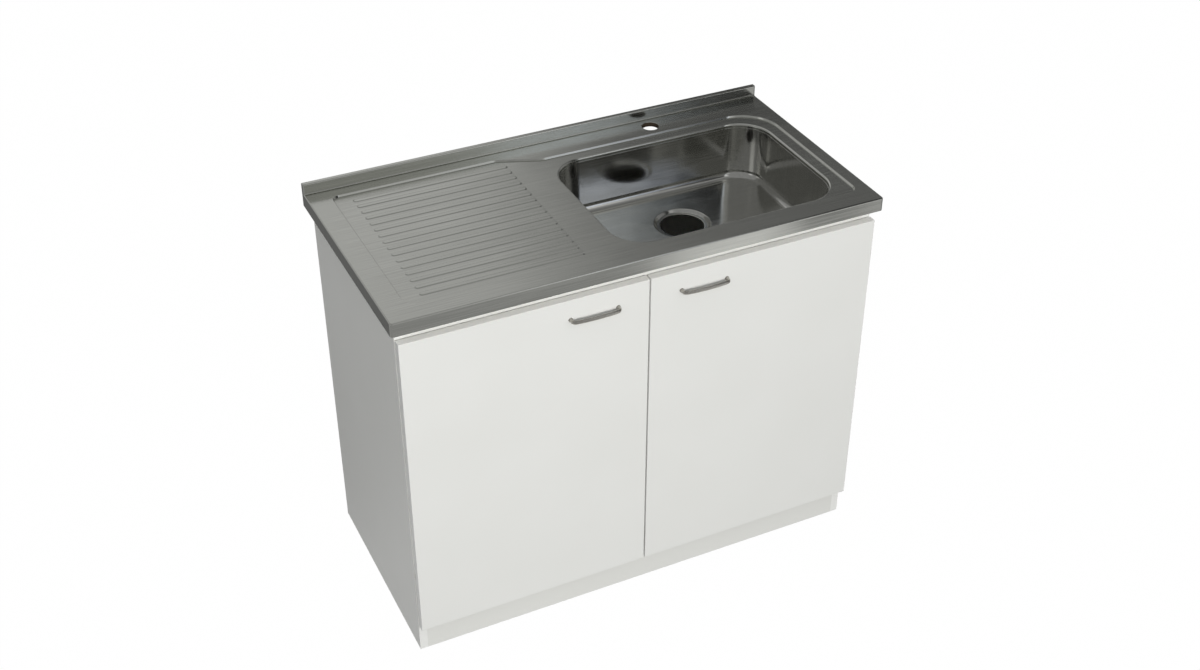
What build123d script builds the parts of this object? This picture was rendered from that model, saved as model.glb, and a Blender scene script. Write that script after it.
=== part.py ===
from build123d import *
from math import hypot
import os

# Kitchen sink unit: a lay-on stainless sink with drainer and one bowl, on a white two-door
# cabinet. Millimetres. X is the width, +Y the back, +Z up. The origin is on the floor, at the
# middle of the whole unit's outline, handles included. Lengths are measured from the front
# lip of the worktop unless a name says otherwise.

# Worktop sheet
top_width = 1000.0
top_depth = 500.0
worktop_height = 800.0
sheet = 0.8
lip_height = 28.0
lip_round = 3.0
lip_corner = 5.0
upstand_height = 22.5
upstand_thickness = 11.0
upstand_cove = 3.0
upstand_bead = 1.0
upstand_root = 6.0
rear_fold = 10.0
rear_return = 12.0

# Sunk field that drains into the bowl
field_sink = 3.5
field_slope = 6.0
field_left_margin = 45.0
field_right_margin = 27.0
field_front_margin = 42.0
field_back_margin = 39.0
tap_ledge_margin = 73.0
jog_run = 86.0
field_front_round = 26.0
field_back_round = 16.0
field_jog_round = 28.0
field_bowl_round = 80.0

# Bowl, waste hole and tap hole
bowl_width = 470.0
bowl_depth = 125.0
bowl_corner = 70.0
bowl_floor_round = 18.0
bowl_draft = 2.0
bowl_right_margin = 56.5
bowl_front_margin = 56.0
bowl_back_gap = 27.0
rim_round = 4.0
rim_collar = 8.0
waste_hole = 90.0
waste_recess = 114.0
waste_recess_depth = 5.0
waste_back_shift = 38.0
tap_hole = 35.0
tap_right_shift = 23.5
tap_back_margin = 42.0

# Drainer ribs
rib_pitch = 24.0
rib_width = 13.0
rib_height = 1.3
rib_slope_angle = 45.0
rib_left_margin = 79.0
rib_front_margin = 65.0
rib_back_gap = 15.0
rib_bowl_gap = 74.0

# Parts under the worktop
batten_width = 36.0
batten_gap = 0.3
tap_gap = 62.0
backing_thickness = 9.0
backing_width = 110.0
backing_gap = 2.0
pad_thickness = 3.0
pad_margin = 30.0
pad_waste_gap = 14.0

# Cabinet boards
side_overhang = 12.0
rear_overhang = 20.0
board = 16.0
plinth_height = 66.0
front_rail_height = 80.0
rear_rail_height = 100.0
back_panel_thickness = 3.0
back_panel_inset = 2.0
back_panel_lap = 20.0
pipe_opening_width = 160.0
pipe_opening_height = 110.0
pipe_opening_rise = 20.0
pipe_opening_round = 10.0

# Doors and handles
door_setback = 4.0
door_thickness = 16.0
door_gap = 4.0
door_top_gap = 21.5
door_bottom_lap = 2.0
door_side_gap = 0.5
door_middle_gap = 3.0
door_edge_round = 0.8
handle_centres = 96.0
handle_reach = 18.0
handle_post = 6.0
handle_bend = 7.0
handle_depth = 5.5
handle_tall = 8.0
handle_foot = 9.0
handle_foot_length = 5.0
handle_edge_gap = 64.0
handle_drop = 42.0
buffer_size = 9.0
buffer_seat_gap = 0.3
buffer_edge_gap = 30.0

# Hinges
hinge_end_gap = 100.0
hinge_angle = 95.0
cup_diameter = 35.0
cup_depth = 12.5
cup_edge_gap = 3.0
cup_wall = 0.8
flange_thickness = 1.2
flange_rim = 2.0
flange_width = 14.0
flange_length = 58.0
flange_corner = 4.5
cup_screw_pitch = 45.0
cup_screw_shift = 9.5
pin_from_cup = 12.4
pin_from_back = 8.0
pin_diameter = 3.0
pin_clearance = 0.05
barrel_diameter = 5.8
arm_height = 10.0
arm_thickness = 3.0
arm_reach = 25.5
arm_rise = 20.0
channel_height = 16.0
channel_depth = 4.6
channel_length = 50.0
channel_front = 24.0
ear_gap = 0.3
ear_width = 6.4
plate_thickness = 3.0
plate_length = 52.0
plate_front = 20.0
plate_height = 18.0
wing_length = 14.0
wing_height = 48.0
plate_screw_setback = 37.0
plate_screw_pitch = 32.0
arm_screw_setback = 62.0

# Fasteners
screw_wood = 3.5
screw_wood_length = 12.0
screw_wood_head = 7.0
screw_head_height = 1.6
screw_plate = 5.0
screw_plate_length = 13.0
screw_plate_head = 8.0
screw_arm = 4.0
screw_arm_length = 6.5
screw_handle = 4.0
screw_handle_length = 21.0
screw_handle_head = 8.0
cam_diameter = 15.0
cam_depth = 12.5
cam_setback = 34.0
cam_bolt = 6.0
cam_bolt_bite = 11.0
dowel_diameter = 8.0
dowel_length = 30.0
dowel_bite = 10.0
dowel_shift = 24.0
panel_bolt_share = 0.25
rail_bolt_share = 0.35
fixing_plate_width = 24.0
fixing_plate_height = 40.0
fixing_plate_thickness = 1.5
fixing_screw_drop = 10.0
fixing_setback = 103.0
wall_hole = 6.0
wall_hole_setback = 88.0
nail = 1.8
nail_length = 16.0
nail_head = 4.5
nail_head_height = 0.6
nail_rows = 5
nail_columns = 4

# Levels and faces that the pieces share
door_face_offset = handle_reach - door_setback
back_y = (top_depth + door_face_offset) / 2
lip_y = back_y - top_depth
half_top = top_width / 2
field_z = worktop_height - field_sink
lip_bottom_z = worktop_height - lip_height
sheet_under_z = worktop_height - sheet
door_front_y = lip_y + door_setback
door_back_y = door_front_y + door_thickness
carcass_front_y = door_back_y + door_gap
carcass_back_y = back_y - rear_overhang
carcass_depth = carcass_back_y - carcass_front_y
half_cabinet = half_top - side_overhang
half_inside = half_cabinet - board
carcass_top_z = lip_bottom_z
bottom_top_z = plinth_height + board
rail_back_y = carcass_front_y + board
rear_rail_front_y = carcass_back_y - board

bowl_x = half_top - bowl_right_margin - bowl_width / 2
bowl_length = top_depth - bowl_front_margin - bowl_back_gap - tap_ledge_margin
bowl_front_y = lip_y + bowl_front_margin
bowl_y = bowl_front_y + bowl_length / 2
bowl_left_x = bowl_x - bowl_width / 2
bowl_floor_z = worktop_height - bowl_depth
collar_z = field_z - rim_collar
waste_y = bowl_y + waste_back_shift
tap_x = bowl_x + tap_right_shift
tap_y = back_y - tap_back_margin

door_top_z = carcass_top_z - door_top_gap
door_bottom_z = plinth_height + door_bottom_lap
door_outer_x = half_cabinet - door_side_gap
door_width = door_outer_x - door_middle_gap / 2
door_height = door_top_z - door_bottom_z
handle_x = door_middle_gap / 2 + handle_edge_gap + handle_centres / 2
handle_z = door_top_z - handle_drop
hinge_levels = (door_bottom_z + hinge_end_gap, door_top_z - hinge_end_gap)

cup_x = door_outer_x - cup_edge_gap - cup_diameter / 2
cup_inner_radius = cup_diameter / 2 - cup_wall
pin_x = cup_x + pin_from_cup
pin_y = door_back_y - pin_from_back
plate_reach = pin_x - half_inside
arm_seat = plate_reach + plate_thickness
plate_screw_y = carcass_front_y + plate_screw_setback
arm_screw_y = carcass_front_y + arm_screw_setback

os.makedirs("parts", exist_ok=True)


def write(piece, name):
    """Give a finished piece its name and write it to its own file."""
    piece.label = name
    export_step(piece, f"parts/{name}.step")


def upright_box(x_range, y_range, z_range):
    """Solid between two limits along each axis."""
    with BuildPart() as block:
        with BuildSketch(Plane.XY.offset(z_range[0])):
            with Locations(((x_range[0] + x_range[1]) / 2, (y_range[0] + y_range[1]) / 2)):
                Rectangle(x_range[1] - x_range[0], y_range[1] - y_range[0])
        extrude(amount=z_range[1] - z_range[0])
    return block.part


def rod(start, direction, diameter, length):
    """Round bar from a point along a direction."""
    with BuildPart() as bar:
        with BuildSketch(Plane(origin=start, z_dir=direction)):
            Circle(diameter / 2)
        extrude(amount=length)
    return bar.part


def pan_screw(seat, direction, diameter, length, head_diameter):
    """Screw with its head standing on a face at seat and its shank along direction."""
    with BuildPart() as screw:
        add(rod(seat, direction, diameter, length))
        with BuildSketch(Plane(origin=seat, z_dir=direction)):
            Circle(head_diameter / 2)
        extrude(amount=-screw_head_height)
    return screw.part


# Sink deck

def field_outline(level, inset):
    """Outline of the sunk field at one level, drawn in by inset from its top edge."""
    left = -half_top + field_left_margin
    right = half_top - field_right_margin
    front = lip_y + field_front_margin
    drainer_back = back_y - field_back_margin
    ledge_front = back_y - tap_ledge_margin
    corners = (
        ((left, front), field_front_round),
        ((right, front), field_front_round),
        ((right, ledge_front), field_bowl_round),
        ((bowl_left_x, ledge_front), field_jog_round),
        ((bowl_left_x - jog_run, drainer_back), field_jog_round),
        ((left, drainer_back), field_back_round),
    )
    with BuildSketch(Plane.XY.offset(level)) as outline:
        with BuildLine():
            FilletPolyline(*[point for point, _ in corners], radius=[r for _, r in corners], close=True)
        make_face()
        if inset > 0:
            offset(amount=-inset, mode=Mode.REPLACE)
    return outline.sketch


def rib_rows():
    """Y position of every drainer rib, from the front to the back."""
    first = lip_y + rib_front_margin + rib_width / 2
    last = back_y - field_back_margin - rib_back_gap - rib_width / 2
    count = int((last - first) / rib_pitch) + 1
    return [first + row * rib_pitch for row in range(count)]


def pressed_form(skin):
    """Solid under the pressed face of the deck, skin below its outer surface."""
    top_z = worktop_height - skin
    face_y = back_y - upstand_thickness
    block_width = top_width - 2 * skin
    block_depth = top_depth - 2 * skin
    cove_centre = (face_y - upstand_cove, worktop_height + upstand_cove)
    root_z = top_z - upstand_root
    rib_left = -half_top + rib_left_margin
    rib_length = bowl_left_x - rib_bowl_gap - rib_left
    with BuildPart() as form:
        with BuildSketch(Plane.XY.offset(lip_bottom_z)):
            with Locations((0, lip_y + top_depth / 2)):
                Rectangle(block_width, block_depth)
        extrude(amount=top_z - lip_bottom_z)
        front_corners = form.edges().filter_by(Axis.Z).group_by(Axis.Y)[0]
        fillet(front_corners, lip_corner - skin)
        back_edge = form.faces().sort_by(Axis.Z)[-1].edges().sort_by(Axis.Y)[-1]
        fillet(form.faces().sort_by(Axis.Z)[-1].edges() - [back_edge], lip_round - skin)
        with BuildSketch(Plane.YZ):
            with BuildLine():
                Line((cove_centre[0], top_z), (cove_centre[0], root_z))
                Line((cove_centre[0], root_z), (back_y - skin, root_z))
                Line((back_y - skin, root_z), (back_y - skin, top_z + upstand_height))
                Line((back_y - skin, top_z + upstand_height), (face_y + skin, top_z + upstand_height))
                Line((face_y + skin, top_z + upstand_height), (face_y + skin, cove_centre[1]))
                RadiusArc((face_y + skin, cove_centre[1]), (cove_centre[0], top_z), upstand_cove + skin)
            make_face()
        extrude(amount=block_width / 2, both=True)
        loft([field_outline(top_z, 0), field_outline(top_z - field_sink, field_slope)],
             ruled=True, mode=Mode.SUBTRACT)
        with BuildSketch(Plane.XY.offset(field_z - skin)):
            with Locations(*[(rib_left + rib_length / 2, row) for row in rib_rows()]):
                SlotOverall(rib_length, rib_width)
        extrude(amount=rib_height, taper=rib_slope_angle)
        with BuildSketch(Plane.XY.offset(field_z - skin)):
            with Locations((bowl_x, bowl_y)):
                RectangleRounded(bowl_width + 2 * skin, bowl_length + 2 * skin, bowl_corner + skin)
        extrude(amount=lip_bottom_z - worktop_height, mode=Mode.SUBTRACT)
        rim = form.edges().filter_by_position(Axis.Z, field_z - 2 * sheet, field_z)
        rim = rim.filter_by_position(Axis.X, bowl_left_x - sheet, bowl_left_x + bowl_width + sheet)
        rim = rim.filter_by_position(Axis.Y, bowl_front_y - sheet, bowl_front_y + bowl_length + sheet)
        fillet(rim, rim_round - skin)
    return form.part


deck_hollow = pressed_form(sheet)
with BuildPart() as sink_deck:
    add(pressed_form(0))
    add(deck_hollow, mode=Mode.SUBTRACT)
    # The collar round the bowl ends where the bowl is welded on.
    with BuildSketch(Plane.XY.offset(lip_bottom_z)):
        with Locations((bowl_x, bowl_y)):
            RectangleRounded(bowl_width + 4 * sheet, bowl_length + 4 * sheet, bowl_corner + 2 * sheet)
    extrude(amount=collar_z - lip_bottom_z, mode=Mode.SUBTRACT)
    # The rear skin stops a little below the worktop and leaves the back open.
    with BuildSketch(Plane.XZ.offset(-back_y)):
        with Locations((0, (lip_bottom_z + worktop_height - rear_fold) / 2)):
            Rectangle(top_width - 2 * rear_return, lip_height - rear_fold)
    extrude(amount=2 * sheet, mode=Mode.SUBTRACT)
    # The bead runs along the foot of the upstand.
    with BuildSketch(Plane.YZ):
        with Locations((back_y - upstand_thickness, worktop_height + upstand_cove)):
            Circle(upstand_bead)
    extrude(amount=half_top - sheet, both=True)
    with BuildSketch(Plane.XY.offset(worktop_height - backing_thickness)):
        with Locations((tap_x, tap_y)):
            Circle(tap_hole / 2)
    extrude(amount=2 * backing_thickness, mode=Mode.SUBTRACT)
write(sink_deck.part, "sink_deck")


# Bowl

def bowl_form(skin):
    """Solid inside the bowl's wall, grown by skin, from the collar down to the waste recess."""
    floor_z = bowl_floor_z - skin
    recess_radius = waste_recess / 2 + skin
    with BuildPart() as form:
        with BuildSketch(Plane.XY.offset(collar_z)):
            with Locations((bowl_x, bowl_y)):
                RectangleRounded(bowl_width + 2 * skin, bowl_length + 2 * skin, bowl_corner + skin)
        extrude(amount=floor_z - collar_z, taper=bowl_draft)
        fillet(form.faces().sort_by(Axis.Z)[0].edges(), bowl_floor_round + skin)
        with BuildSketch(Plane.XY.offset(floor_z)):
            with Locations((bowl_x, waste_y)):
                Circle(recess_radius)
        with BuildSketch(Plane.XY.offset(floor_z - waste_recess_depth)):
            with Locations((bowl_x, waste_y)):
                Circle(recess_radius - waste_recess_depth)
        loft(ruled=True)
    return form.part


bowl_inside = bowl_form(0)
with BuildPart() as bowl:
    add(bowl_form(sheet))
    add(bowl_inside, mode=Mode.SUBTRACT)
    with BuildSketch(Plane.XY.offset(bowl_floor_z)):
        with Locations((bowl_x, waste_y)):
            Circle(waste_hole / 2)
    extrude(amount=-2 * waste_recess_depth, mode=Mode.SUBTRACT)
write(bowl.part, "bowl")

# The pad is glued under the bowl's flat floor and leaves the waste recess free.
pad_width = bowl_width - 2 * pad_margin
pad_length = bowl_length - 2 * pad_margin
with BuildPart() as bowl_pad:
    with BuildSketch(Plane.XY.offset(bowl_floor_z - sheet)):
        with Locations((bowl_x, bowl_y)):
            RectangleRounded(pad_width, pad_length, bowl_corner - pad_margin)
        with Locations((bowl_x, waste_y)):
            Circle(waste_recess / 2 + pad_waste_gap, mode=Mode.SUBTRACT)
    extrude(amount=-pad_thickness)
write(bowl_pad.part, "bowl_pad")


# Fixings of the top, battens and backing under the deck

# Flat plates and screws tie the front and rear battens to the rails below them.
fixing_x = half_inside - fixing_setback
fixing_faces = ((rail_back_y, 1), (rear_rail_front_y, -1))
fixing_places = [(side * fixing_x, y, out) for side in (-1, 1) for y, out in fixing_faces]


def fixing_screw_seats():
    """Point under each fixing screw's head, with the way that its head faces."""
    seats = []
    for x, y, out in fixing_places:
        for up in (-1, 1):
            seats.append(((x, y + out * fixing_plate_thickness, carcass_top_z + up * fixing_screw_drop), out))
    return seats


with BuildPart() as fixing_screws:
    for seat, out in fixing_screw_seats():
        add(pan_screw(seat, (0, -out, 0), screw_wood, screw_wood_length, screw_wood_head))
write(fixing_screws.part, "fixing_screws")

batten_edge_x = half_top - sheet - batten_gap
batten_back_y = back_y - sheet - batten_gap
front_batten_y = (lip_y + sheet + batten_gap, rail_back_y)
side_batten_y = (front_batten_y[0], batten_back_y)
left_batten_x = (-batten_edge_x, -batten_edge_x + batten_width)
right_batten_x = (half_top - field_right_margin + sheet, batten_edge_x)
batten_z = (carcass_top_z, sheet_under_z)
rear_batten_y = (rear_rail_front_y, batten_back_y)

battens = {
    "batten_front": ((left_batten_x[1], right_batten_x[0]), front_batten_y),
    "batten_left": (left_batten_x, side_batten_y),
    "batten_right": (right_batten_x, side_batten_y),
    "batten_rear_left": ((left_batten_x[1], tap_x - tap_gap), rear_batten_y),
    "batten_rear_right": ((tap_x + tap_gap, right_batten_x[0]), rear_batten_y),
}


def batten(x_range, y_range):
    """Strip under the deck, with its outer front corners cleared for the rounded lip."""
    with BuildPart() as strip:
        add(upright_box(x_range, y_range, batten_z))
        if y_range[0] < carcass_front_y and abs(sum(x_range)) > half_top:
            outer = strip.edges().filter_by(Axis.Z).group_by(Axis.Y)[0]
            outer = outer.sort_by(lambda edge: abs(edge.center().X))[-1:]
            fillet(outer, lip_corner)
        shoulders = strip.faces().sort_by(Axis.Z)[-1].edges()
        chamfer(shoulders, lip_round - sheet)
        add(fixing_screws.part, mode=Mode.SUBTRACT)
    return strip.part


for name, (x_range, y_range) in battens.items():
    write(batten(x_range, y_range), name)

backing_front_y = back_y - tap_ledge_margin + backing_gap + sheet
backing_back_y = back_y - upstand_thickness - backing_gap
with BuildPart() as tap_backing:
    add(upright_box((tap_x - backing_width / 2, tap_x + backing_width / 2),
                    (backing_front_y, backing_back_y),
                    (sheet_under_z - backing_thickness, sheet_under_z)))
    with BuildSketch(Plane.XY.offset(sheet_under_z)):
        with Locations((tap_x, tap_y)):
            Circle(tap_hole / 2)
    extrude(amount=-backing_thickness, mode=Mode.SUBTRACT)
write(tap_backing.part, "tap_backing")


# Back panel and the flat-headed nails that hold it to the rear edges of the boards

panel_top_z = carcass_top_z - rear_rail_height + back_panel_lap
panel_back_y = carcass_back_y + back_panel_thickness
lower_rail_top_z = bottom_top_z + rear_rail_height
nail_row_pitch = (panel_top_z - back_panel_lap - lower_rail_top_z) / nail_rows
nail_column_pitch = 2 * half_inside / nail_columns


def nail_places():
    """Where each nail goes, in X and Z: up both sides, along the bottom and along the upper rail."""
    places = []
    for row in range(nail_rows):
        z = lower_rail_top_z + nail_row_pitch * (row + 0.5)
        for side in (-1, 1):
            places.append((side * (half_cabinet - board / 2), z))
    for column in range(nail_columns):
        x = -half_inside + nail_column_pitch * (column + 0.5)
        places.append((x, plinth_height + board / 2))
        places.append((x, panel_top_z - back_panel_lap / 2))
    return places


with BuildPart() as back_nails:
    for x, z in nail_places():
        add(rod((x, panel_back_y, z), (0, -1, 0), nail, nail_length))
        add(rod((x, panel_back_y, z), (0, 1, 0), nail_head, nail_head_height))
write(back_nails.part, "back_nails")

with BuildPart() as back_panel:
    add(upright_box((back_panel_inset - half_cabinet, half_cabinet - back_panel_inset),
                    (carcass_back_y, panel_back_y), (plinth_height, panel_top_z)))
    with BuildSketch(Plane(origin=(bowl_x, panel_back_y, lower_rail_top_z + pipe_opening_rise),
                           x_dir=(1, 0, 0), z_dir=(0, -1, 0))):
        RectangleRounded(pipe_opening_width, pipe_opening_height, pipe_opening_round,
                         align=(Align.CENTER, Align.MIN))
    extrude(amount=back_panel_thickness, mode=Mode.SUBTRACT)
    add(back_nails.part, mode=Mode.SUBTRACT)
write(back_panel.part, "back_panel")


# Cabinet boards and what joins them
# Each board between the sides has a seat: the line of its cam bolts (Y, Z), the direction
# from that line to the face that the cams enter, and the direction along which the dowel lies.

board_seats = {
    "bottom_panel": (
        ((carcass_front_y, carcass_back_y), (plinth_height, bottom_top_z)),
        ((carcass_front_y + carcass_depth * panel_bolt_share, plinth_height + board / 2),
         (carcass_back_y - carcass_depth * panel_bolt_share, plinth_height + board / 2)),
        (0, 0, -1), (0, 1),
    ),
    "plinth": (
        ((carcass_front_y, rail_back_y), (0, plinth_height)),
        ((carcass_front_y + board / 2, plinth_height * rail_bolt_share),),
        (0, 1, 0), (1, 0),
    ),
    "front_rail": (
        ((carcass_front_y, rail_back_y), (carcass_top_z - front_rail_height, carcass_top_z)),
        ((carcass_front_y + board / 2, carcass_top_z - front_rail_height * rail_bolt_share),),
        (0, 1, 0), (-1, 0),
    ),
    "rear_upper_rail": (
        ((rear_rail_front_y, carcass_back_y), (carcass_top_z - rear_rail_height, carcass_top_z)),
        ((carcass_back_y - board / 2, carcass_top_z - rear_rail_height * rail_bolt_share),),
        (0, -1, 0), (-1, 0),
    ),
    "rear_lower_rail": (
        ((rear_rail_front_y, carcass_back_y), (bottom_top_z, lower_rail_top_z)),
        ((carcass_back_y - board / 2, bottom_top_z + rear_rail_height * rail_bolt_share),),
        (0, -1, 0), (1, 0),
    ),
}


def bolt_seats():
    """Every cam bolt: its line, the way to its cam's open face and its dowel's line."""
    seats = []
    for _, bolts, to_face, (dowel_up, dowel_back) in board_seats.values():
        for y, z in bolts:
            seats.append(((y, z), to_face, (y + dowel_back * dowel_shift, z + dowel_up * dowel_shift)))
    return seats


def cam_seat(side, line, to_face):
    """Centre of a cam's open face."""
    reach = board / 2
    return (side * (half_inside - cam_setback), line[0] + to_face[1] * reach, line[1] + to_face[2] * reach)


def cross_board(name):
    """Board between the two sides, with its cam pockets, bolt holes and dowel holes."""
    (y_range, z_range), _, _, _ = board_seats[name]
    with BuildPart() as panel:
        add(upright_box((-half_inside, half_inside), y_range, z_range))
        for (y, z), to_face, dowel in bolt_seats():
            inside = y_range[0] < y < y_range[1] and z_range[0] < z < z_range[1]
            if not inside:
                continue
            into = tuple(-part for part in to_face)
            for side in (-1, 1):
                end_x = side * half_inside
                add(rod(cam_seat(side, (y, z), to_face), into, cam_diameter, cam_depth), mode=Mode.SUBTRACT)
                add(rod((end_x, y, z), (-side, 0, 0), cam_bolt, cam_setback), mode=Mode.SUBTRACT)
                add(rod((end_x, *dowel), (-side, 0, 0), dowel_diameter, dowel_length - dowel_bite),
                    mode=Mode.SUBTRACT)
        add(fixing_screws.part, mode=Mode.SUBTRACT)
        add(back_nails.part, mode=Mode.SUBTRACT)
    return panel.part


for name in ("bottom_panel", "plinth", "front_rail", "rear_lower_rail"):
    write(cross_board(name), name)

wall_hole_x = half_inside - wall_hole_setback
wall_hole_z = carcass_top_z - rear_rail_height / 2
with BuildPart() as rear_upper_rail:
    add(cross_board("rear_upper_rail"))
    for side in (-1, 1):
        add(rod((side * wall_hole_x, carcass_back_y, wall_hole_z), (0, -1, 0), wall_hole, board),
            mode=Mode.SUBTRACT)
write(rear_upper_rail.part, "rear_upper_rail")


def side_panel(side):
    """Side board down to the floor, drilled for bolts, dowels and hinge plates."""
    inner_x = side * half_inside
    outer_x = side * half_cabinet
    with BuildPart() as panel:
        add(upright_box(sorted((inner_x, outer_x)), (carcass_front_y, carcass_back_y), (0, carcass_top_z)))
        for line, _, dowel in bolt_seats():
            add(rod((inner_x, *line), (side, 0, 0), cam_bolt, cam_bolt_bite), mode=Mode.SUBTRACT)
            add(rod((inner_x, *dowel), (side, 0, 0), dowel_diameter, dowel_bite), mode=Mode.SUBTRACT)
        for level in hinge_levels:
            for up in (-1, 1):
                hole = (inner_x, plate_screw_y, level + up * plate_screw_pitch / 2)
                add(rod(hole, (side, 0, 0), screw_plate, screw_plate_length - plate_thickness),
                    mode=Mode.SUBTRACT)
        add(back_nails.part, mode=Mode.SUBTRACT)
    return panel.part


write(side_panel(-1), "side_left")
write(side_panel(1), "side_right")

# Every cam holds the end of its bolt in a hole of its own.
with BuildPart() as cam_bolts:
    for line, _, _ in bolt_seats():
        for side in (-1, 1):
            start = (side * (half_inside + cam_bolt_bite), *line)
            add(rod(start, (-side, 0, 0), cam_bolt, cam_bolt_bite + cam_setback))
write(cam_bolts.part, "cam_bolts")

with BuildPart() as cam_locks:
    for line, to_face, _ in bolt_seats():
        into = tuple(-part for part in to_face)
        for side in (-1, 1):
            add(rod(cam_seat(side, line, to_face), into, cam_diameter, cam_depth))
    add(cam_bolts.part, mode=Mode.SUBTRACT)
write(cam_locks.part, "cam_locks")

with BuildPart() as dowels:
    for _, _, dowel in bolt_seats():
        for side in (-1, 1):
            add(rod((side * (half_inside + dowel_bite), *dowel), (-side, 0, 0), dowel_diameter, dowel_length))
write(dowels.part, "dowels")

with BuildPart() as fixing_plates:
    for x, y, out in fixing_places:
        add(upright_box((x - fixing_plate_width / 2, x + fixing_plate_width / 2),
                        sorted((y, y + out * fixing_plate_thickness)),
                        (carcass_top_z - fixing_plate_height / 2, carcass_top_z + fixing_plate_height / 2)))
    add(fixing_screws.part, mode=Mode.SUBTRACT)
write(fixing_plates.part, "fixing_plates")


# Doors and handles

def handle_bolt(side, post):
    """Seat of a handle screw's head on a door's back; post is -1 or 1 along the handle."""
    return (side * handle_x + post * handle_centres / 2, door_back_y, handle_z)


def hinge_hand(side, level):
    """Middle of a hinge's cup on the door's back face."""
    return (side * cup_x, door_back_y, level)


def handle_screw_set(side):
    """The two screws that hold one handle from inside the door."""
    with BuildPart() as screws:
        for post in (-1, 1):
            add(pan_screw(handle_bolt(side, post), (0, -1, 0), screw_handle, screw_handle_length,
                          screw_handle_head))
    return screws.part


def cup_screw_set(side):
    """The screws that hold both cups of one door."""
    with BuildPart() as screws:
        for level in hinge_levels:
            for up in (-1, 1):
                seat = (side * (cup_x - cup_screw_shift), door_back_y + flange_thickness,
                        level + up * cup_screw_pitch / 2)
                add(pan_screw(seat, (0, -1, 0), screw_wood, screw_wood_length, screw_wood_head))
    return screws.part


def door(side):
    """Flat door with its cup bores, handle holes and screw holes."""
    with BuildPart() as leaf:
        add(upright_box(sorted((side * door_middle_gap / 2, side * door_outer_x)),
                        (door_front_y, door_back_y), (door_bottom_z, door_top_z)))
        fillet(leaf.faces().sort_by(Axis.Y)[0].edges(), door_edge_round)
        for level in hinge_levels:
            add(rod(hinge_hand(side, level), (0, -1, 0), cup_diameter, cup_depth), mode=Mode.SUBTRACT)
        for post in (-1, 1):
            add(rod(handle_bolt(side, post), (0, -1, 0), screw_handle, door_thickness), mode=Mode.SUBTRACT)
        add(cup_screw_set(side), mode=Mode.SUBTRACT)
    return leaf.part


def handle(side):
    """Bow handle: a flat rod from foot to foot, bent at both ends and slightly crowned."""
    half = handle_centres / 2
    rise = handle_reach - handle_depth / 2 - handle_post
    bend_x = half - handle_bend
    # The crown's radius makes it meet both end bends in line.
    crown = (rise ** 2 + bend_x ** 2 - handle_bend ** 2) / (2 * (rise - handle_bend))
    crown_drop = crown - rise
    scale = crown / hypot(bend_x, crown_drop)
    meet = (bend_x * scale, handle_post - crown_drop + crown_drop * scale)
    plan = Plane(origin=(side * handle_x, door_front_y, handle_z), x_dir=(1, 0, 0), z_dir=(0, 0, -1))
    with BuildPart() as bow:
        with BuildLine(plan) as route:
            start = Line((-half, 0), (-half, handle_post))
            bend = TangentArc(start @ 1, (-meet[0], meet[1]), tangent=start % 1)
            top = ThreePointArc(bend @ 1, (0, handle_post + rise), meet)
            back = TangentArc(top @ 1, (half, handle_post), tangent=top % 1)
            Line(back @ 1, (half, 0))
        foot_x = side * handle_x - half
        with BuildSketch(Plane(origin=(foot_x, door_front_y, handle_z), x_dir=(1, 0, 0), z_dir=(0, -1, 0))):
            Ellipse(handle_depth / 2, handle_tall / 2)
        sweep(path=route.wires()[0])
        for post in (-1, 1):
            foot = (side * handle_x + post * half, door_front_y, handle_z)
            add(rod(foot, (0, -1, 0), handle_foot, handle_foot_length))
        add(handle_screw_set(side), mode=Mode.SUBTRACT)
    return bow.part


def buffers(side):
    """Two soft buffers on a door's back near its free edge, facing the carcass front."""
    depth = door_gap - buffer_seat_gap
    panel_level = (door_bottom_z + bottom_top_z) / 2
    rail_level = (door_top_z + carcass_top_z - front_rail_height) / 2
    with BuildPart() as pads:
        for level in (panel_level, rail_level):
            seat = (side * (door_middle_gap / 2 + buffer_edge_gap), door_back_y, level)
            add(rod(seat, (0, 1, 0), buffer_size, depth))
    return pads.part


for hand, side in (("left", -1), ("right", 1)):
    write(door(side), f"door_{hand}")
    write(handle(side), f"handle_{hand}")
    write(handle_screw_set(side), f"handle_screws_{hand}")
    write(cup_screw_set(side), f"cup_screws_{hand}")
    write(buffers(side), f"buffers_{hand}")


# Hinges: single-pivot concealed hinges. The arm's neck comes forward from the side board, turns
# outward inside the cup and ends in a barrel round the pin, which stands in the cup.

def pivot(side, level):
    """Middle of a hinge's pin."""
    return (side * pin_x, pin_y, level)


def pin_solid(side, level, diameter, length):
    """Upright rod centred on a hinge's pin."""
    with BuildPart() as upright:
        with BuildSketch(Plane.XY.offset(level)):
            with Locations(pivot(side, level)[:2]):
                Circle(diameter / 2)
        extrude(amount=length / 2, both=True)
    return upright.part


# The cup's wall is this far above and below the pin, on the pin's outer side.
wall_rise = (cup_inner_radius ** 2 - (pin_from_cup + pin_diameter / 2) ** 2) ** 0.5
pin_length = 2 * wall_rise - 2 * ear_gap


def cup_ears(side, level):
    """Two blocks above and below the arm's barrel, cut to the round of the cup."""
    floor_y = door_back_y - cup_depth + cup_wall
    ear_x = sorted((side * (pin_x - ear_width / 2), side * (pin_x + ear_width / 2)))
    with BuildPart() as ears:
        for up in (-1, 1):
            ear_z = sorted((level + up * (arm_height / 2 + ear_gap), level + up * cup_inner_radius))
            add(upright_box(ear_x, (floor_y, pin_y + ear_width / 2), ear_z))
        add(rod(hinge_hand(side, level), (0, -1, 0), 2 * cup_inner_radius, cup_depth), mode=Mode.INTERSECT)
    return ears.part


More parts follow.
